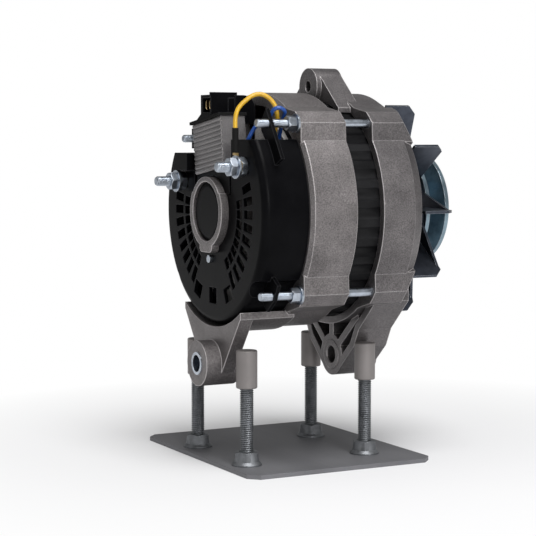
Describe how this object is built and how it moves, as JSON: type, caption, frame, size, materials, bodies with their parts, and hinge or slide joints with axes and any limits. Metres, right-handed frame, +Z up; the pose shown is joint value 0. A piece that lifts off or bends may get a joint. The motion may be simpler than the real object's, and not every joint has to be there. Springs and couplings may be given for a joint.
{
  "type": "alternator",
  "caption": "Foot-mounted claw pole alternator with two in-line foot bores, a tapped adjusting ear, an external fan, a belt pulley and a rear rectifier cover with a finned regulator.",
  "frame": {"origin": "on the axis of the foot bores, at the rear face of the front foot", "axes": "+X along the shaft towards the pulley, +Z up from the feet to the shaft, -Y towards the battery stud"},
  "size_m": [0.1726, 0.14, 0.1881],
  "materials": {
    "cast_aluminium": "matt as-cast surface",
    "zinc_steel": "bright zinc plating",
    "black_plastic": "moulded, slightly glossy",
    "painted_stack": "black varnished steel laminations",
    "copper_windings": "enamelled copper wire",
    "bearing_steel": "ground bearing steel",
    "brass": "rolled brass",
    "pole_steel": "dark forged steel",
    "nylon": "natural nylon",
    "copper": "turned copper",
    "carbon": "pressed carbon",
    "spring_steel": "spring wire",
    "yellow_insulation": "soft vinyl",
    "blue_insulation": "soft vinyl",
    "rubber_sleeve": "matt shrink sleeve"
  },
  "bodies": {
    "frame": {"drive_end_bracket": "cast_aluminium", "slip_ring_end_bracket": "cast_aluminium", "stator_core": "painted_stack", "stator_windings": "copper_windings", "through_studs": "zinc_steel", "stud_nuts": "zinc_steel", "stud_washers": "zinc_steel", "rear_cover": "black_plastic", "rear_foot_bush": "zinc_steel", "bearing_retainer": "zinc_steel", "retainer_screws": "zinc_steel", "front_bearing_outer_ring": "bearing_steel", "rear_bearing_outer_ring": "bearing_steel", "rear_bearing_cap": "black_plastic", "brush_holder": "black_plastic", "positive_brush_spring": "spring_steel", "negative_brush_spring": "spring_steel", "regulator_body": "cast_aluminium", "regulator_gasket": "rubber_sleeve", "connector_block": "black_plastic", "contact_blades": "brass", "positive_heat_sink": "cast_aluminium", "negative_heat_sink": "cast_aluminium", "rectifier_diodes": "bearing_steel", "heat_sink_spacers": "nylon", "heat_sink_screws": "zinc_steel", "terminal_bushes": "black_plastic", "battery_stud": "zinc_steel", "ground_stud": "zinc_steel", "phase_stud": "zinc_steel", "phase_block": "black_plastic", "terminal_nuts": "zinc_steel", "terminal_washers": "zinc_steel", "ring_terminal": "brass", "yellow_lead": "yellow_insulation", "lead_sleeve": "rubber_sleeve", "blue_lead": "blue_insulation", "cover_screw": "zinc_steel"},
    "rotor": {"rotor_shaft": "bearing_steel", "front_pole": "pole_steel", "rear_pole": "pole_steel", "coil_bobbin": "nylon", "field_coil": "copper_windings", "slip_ring_sleeve": "black_plastic", "slip_rings": "copper", "front_bearing_inner_ring": "bearing_steel", "rear_bearing_inner_ring": "bearing_steel", "fan_spacer": "bearing_steel", "cooling_fan": "zinc_steel", "pulley_rear_half": "zinc_steel", "pulley_front_half": "zinc_steel", "pulley_key": "bearing_steel", "pulley_washer": "zinc_steel", "pulley_nut": "zinc_steel"},
    "front_ball_set": {"front_bearing_balls": "bearing_steel", "front_bearing_cage": "brass"},
    "rear_ball_set": {"rear_bearing_balls": "bearing_steel", "rear_bearing_cage": "brass"},
    "positive_brush": {"positive_brush": "carbon"},
    "negative_brush": {"negative_brush": "carbon"}
  },
  "joints": [
    {"name": "rotor_spin", "type": "hinge", "parent": "frame", "child": "rotor", "pos_m": [0, 0, 0.0896], "axis": [1, 0, 0], "continuous": true},
    {"name": "front_balls_spin", "type": "hinge", "parent": "frame", "child": "front_ball_set", "pos_m": [0.0195, 0, 0.0896], "axis": [1, 0, 0], "continuous": true},
    {"name": "rear_balls_spin", "type": "hinge", "parent": "frame", "child": "rear_ball_set", "pos_m": [-0.072, 0, 0.0896], "axis": [1, 0, 0], "continuous": true},
    {"name": "positive_brush_slide", "type": "slide", "parent": "frame", "child": "positive_brush", "axis": [0, 0, 1], "range_m": [0, 0.005], "stiffness_N_per_m": 60, "springref_m": -0.008, "deforming": ["positive_brush_spring"]},
    {"name": "negative_brush_slide", "type": "slide", "parent": "frame", "child": "negative_brush", "axis": [0, 0, 1], "range_m": [0, 0.005], "stiffness_N_per_m": 60, "springref_m": -0.008, "deforming": ["negative_brush_spring"]}
  ],
  "couplings": [
    {"joint": "front_balls_spin", "follows": "rotor_spin", "ratio": 0.36},
    {"joint": "rear_balls_spin", "follows": "rotor_spin", "ratio": 0.39}
  ]
}
